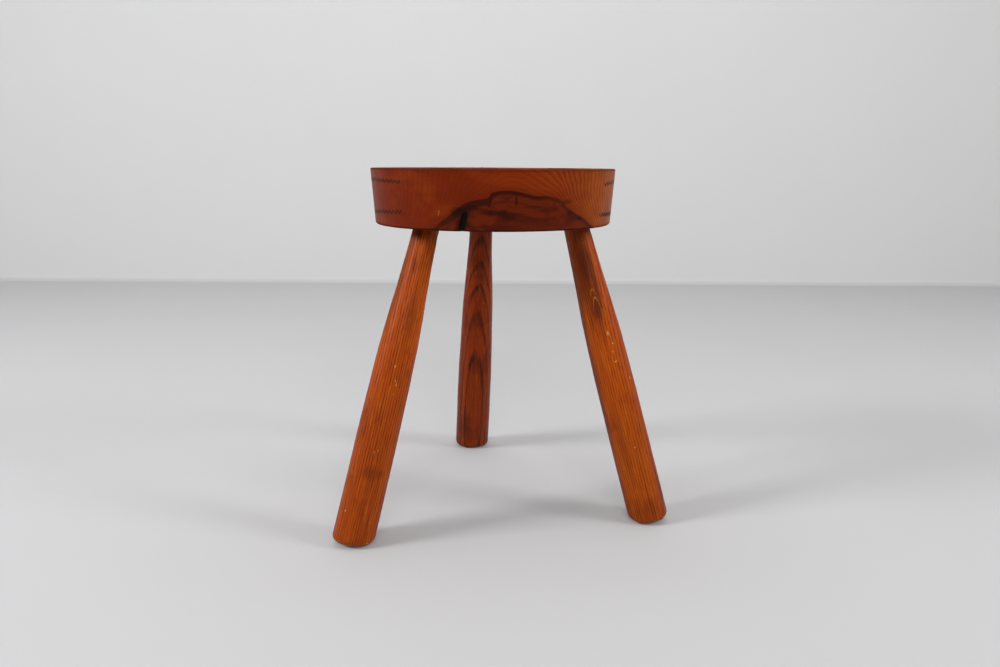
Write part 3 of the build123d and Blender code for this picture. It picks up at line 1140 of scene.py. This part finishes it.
paint(seat_wood(), seat)
leg_materials = {
    "leg_front_left": leg_wood(
        "leg_wood_front_left", ORANGE, 3.0, (-42, 3.1, 0.0, 0.006, 0.0, 1.0),
        [(12.2, 20.3, 223, 1.0, 1.3, 0.85), (6.8, 23, 202, 0.8, 2.6, 0.85),
         (8.4, 22.3, 206, 0.7, 1.6, 0.7), (7.6, 22.9, 190, 0.7, 1.4, 0.8),
         (25.4, 6.2, 41, 1.4, 1.4, 0.85), (-3.6, 25.0, 7, 1.6, 1.2, 0.8),
         (14, 21, 118, 0.6, 3.0, 0.5), (10.5, 23, 121, 0.6, 2.0, 0.5),
         (-1, 24.5, 33, 1.1, 2.2, 0.8), (1.0, 24.5, 35.5, 0.8, 1.6, 0.7)],
        [(14, 8, 384, 6, 9, 0.65), (6, 16, 388, 9, 6, 0.35), (10, 20, 92, 16, 9, 0.35),
         # (20, -3, 345, 11, 100, 0.50) on the next line is painted shade down the leg's left side;
         # the others are stains
         (13, 12, 344, 5, 14, 0.35), (20, -3, 345, 11, 100, 0.50), (7, 20, 285, 9, 42, 0.42)],
    ),
    "leg_front_right": leg_wood(
        "leg_wood_front_right", ORANGE, 41.0, (8, 3.1, 0.006, 0.006, 0.0, 1.0),
        [(11.3, -19.7, 254, 1.3, 3.2, 0.75), (14, -18, 240, 1.6, 1.0, 0.75),
         (12, -20, 230, 0.9, 2.0, 0.6), (12.7, -19.8, 217, 2.4, 0.9, 0.75),
         (22.6, -9, 191, 1.0, 2.2, 0.85), (10.7, -23, 104.5, 2.0, 1.2, 0.4),
         (22.5, -9.5, 3.5, 3.2, 1.6, 0.8), (18, -17, 2.0, 3.0, 1.2, 0.7),
         (22, -7, 270, 0.7, 3.0, 0.5), (23, -8, 130, 0.7, 2.0, 0.5)],
        [(0, -18, 350, 17, 60, 0.50), (0, -20, 300, 15, 56, 0.36), (5, -16, 352, 7, 20, 0.40),
         (10, -16, 322, 4, 22, 0.35), (5.0, -20, 287, 7, 18, 0.50), (11, -16.5, 300, 3.5, 16, 0.35),
         # the three spots on the next line are painted shade down the leg's left side
         (-4, -22, 110, 8, 62, 0.30), (-6, -20, 200, 8, 60, 0.20), (-21, -12, 190, 13, 260, 0.62)],
        [(5.4, -19.0, 306.0, 7.0, 20.0, 3.6)],
        [(5.0, -19.0, 312.0, 0.48, 1.3, 0.40), (5.9, -19.0, 301.0, 0.62, 1.8, 0.55)],
    ),
    "leg_back": leg_wood(
        "leg_wood_back", DARKER, 87.0, (173, 6.0, 0.037, 0.0, -0.000217, 0.45),
        [(-14, -19, 60, 0.7, 1.6, 0.5), (-18, -13, 170, 0.7, 1.6, 0.5)],
        [(-19, 0, 312, 5, 9, 0.45), (-19, 0, 236, 5, 14, 0.35), (-16.5, 0, 366, 5, 8, 0.45)],
    ),
}
for name, obj in leg_objects.items():
    paint(leg_materials[name], obj)
paint(wedge_wood(), *wedge_objects.values())
paint(strip_steel(), *strips)

# the pieces stand for the CAD nodes they were built on
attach(seat, "root")
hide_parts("seat")
for name, obj in leg_objects.items():
    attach(obj, "root")
    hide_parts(name)
for name, obj in wedge_objects.items():
    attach(obj, "root")
    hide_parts(name)
for name, obj in zip(STRIPS, strips):
    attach(obj, "root")
    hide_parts(name)


# ------------------------------------------------------------------- studio
FLOOR_TONES = (0.520, 0.517, 0.525), (0.540, 0.537, 0.545)
WALL_TONES = (0.63, 0.63, 0.63), (0.65, 0.65, 0.65)
BACK = 2.06             # from the seat's axis to the wall
BEND = 0.02             # radius between floor and wall
HALF_WIDTH = 4.0
FLOOR_DROP = 0.0002     # keeps the floor clear of the feet

HEADING = atan2(0.1771, 0.9842)
PITCH = radians(11.79)
ROLL = radians(0.316)
ahead = Vector((sin(HEADING), cos(HEADING), 0))
side = Vector((cos(HEADING), -sin(HEADING), 0))


def sweep():
    """Floor that turns up into the back wall, square to the heading."""
    profile = [(d, 0.0) for d in (-4.0, -2.0, -1.0, 0.0, 1.0, BACK - BEND)]
    bend_rows = 16
    for i in range(1, bend_rows + 1):
        a = pi / 2 * i / bend_rows
        profile.append((BACK - BEND + BEND * sin(a), BEND * (1 - cos(a))))
    profile += [(BACK, h) for h in (1.2, 2.0, 3.5)]
    verts, faces = [], []
    columns = 9
    for d, h in profile:
        for c in range(columns):
            w = (c / (columns - 1) * 2 - 1) * HALF_WIDTH
            level = Vector((0, 0, h - FLOOR_DROP))
            verts.append(SEAT_AXIS + ahead * d + side * w + level)
    for j in range(len(profile) - 1):
        for c in range(columns - 1):
            a = j * columns + c
            faces.append((a, a + 1, a + 1 + columns, a + columns))
    obj = new_mesh("backdrop", verts, faces)
    tidy_normals(obj, 60)
    g = Graph("paper_backdrop")
    px, py, pz = g.split(g.coords())
    grain = g.noise(g.join(px, py, pz), 3.0, 2.0, 0.5)
    wall = g.step(pz, 0.006, 0.018)
    colour = g.mix(wall, g.mix(grain, *FLOOR_TONES), g.mix(grain, *WALL_TONES))
    obj.data.materials.append(g.finish(colour, 0.85, Specular_IOR_Level=0.2))


def studio_spot(right_m, ahead_m, height):
    return SEAT_AXIS + side * right_m + ahead * ahead_m + Vector((0, 0, height))


def area(name, place, aim, size, size_y, power):
    data = bpy.data.lights.new(name, "AREA")
    data.shape = "RECTANGLE"
    data.size = size
    data.size_y = size_y
    data.energy = power
    obj = bpy.data.objects.new(name, data)
    obj.location = place
    obj.rotation_euler = (aim - place).to_track_quat("-Z", "Y").to_euler()
    bpy.context.scene.collection.objects.link(obj)


# the camera stands low in front, a little to the left, just above the seat's height
camera_data = bpy.data.cameras.new("camera")
camera_data.lens = 29.39
camera_data.sensor_width = 36.0
camera_data.clip_start = 0.01
camera = bpy.data.objects.new("camera", camera_data)
bpy.context.scene.collection.objects.link(camera)
forward = Vector((sin(HEADING) * cos(PITCH), cos(HEADING) * cos(PITCH), -sin(PITCH)))
up = side.cross(forward)
right_rolled = side * cos(ROLL) + up * sin(ROLL)
up_rolled = up * cos(ROLL) - side * sin(ROLL)
place = SEAT_AXIS + Vector((-0.1790, -1.0515, 0.4544))
camera.matrix_world = Matrix.Translation(place) @ Matrix(
    (right_rolled, up_rolled, -forward)
).transposed().to_4x4()
bpy.context.scene.camera = camera

sweep()
STOOL = (0.0, 0.0, 0.25)
# name, stands at and aims at (to the right, ahead, up), size both ways, watts
for name, stand, aim, size, size_y, watts in (
    ("key", (-2.9, -1.0, 1.9), STOOL, 0.9, 0.9, 72),
    ("fill", (3.0, -1.0, 1.7), STOOL, 0.9, 0.9, 44),
    ("front", (0.3, -4.2, 2.6), STOOL, 2.6, 1.6, 86),
    ("top", (0.0, 0.0, 2.6), (0.0, 0.1, 0.0), 2.6, 2.6, 10),
    ("back_wash", (0.0, 0.5, 2.5), (0.0, BACK, 0.7), 2.6, 1.0, 12),
):
    area(name, studio_spot(*stand), studio_spot(*aim), size, size_y, watts)

# the room: brighter ahead than behind as a light, and pale where it is seen itself
WHITE = (1, 1, 1, 1)
ROOM_BEHIND, ROOM_AHEAD, ROOM_SEEN = 0.08, 0.43, 0.72
world = bpy.data.worlds.new("studio")
world.use_nodes = True
nodes = world.node_tree.nodes
links = world.node_tree.links
room = nodes["Background"]
room.inputs[0].default_value = WHITE
turn_node = nodes.new("ShaderNodeTexCoord")
facing = nodes.new("ShaderNodeVectorMath")
facing.operation = "DOT_PRODUCT"
facing.inputs[1].default_value = (sin(HEADING), cos(HEADING), 0.25)
links.new(turn_node.outputs["Generated"], facing.inputs[0])
fade = nodes.new("ShaderNodeMapRange")
fade.interpolation_type = "SMOOTHSTEP"
for key, value in (("From Min", -0.85), ("From Max", 0.15),
                   ("To Min", ROOM_BEHIND), ("To Max", ROOM_AHEAD)):
    fade.inputs[key].default_value = value
links.new(facing.outputs["Value"], fade.inputs["Value"])
links.new(fade.outputs["Result"], room.inputs[1])
seen = nodes.new("ShaderNodeBackground")
seen.inputs[0].default_value = WHITE
seen.inputs[1].default_value = ROOM_SEEN
path = nodes.new("ShaderNodeLightPath")
either = nodes.new("ShaderNodeMixShader")
links.new(path.outputs["Is Camera Ray"], either.inputs[0])
links.new(room.outputs[0], either.inputs[1])
links.new(seen.outputs[0], either.inputs[2])
links.new(either.outputs[0], nodes["World Output"].inputs["Surface"])
bpy.context.scene.world = world
bpy.context.scene.view_settings.view_transform = "Standard"
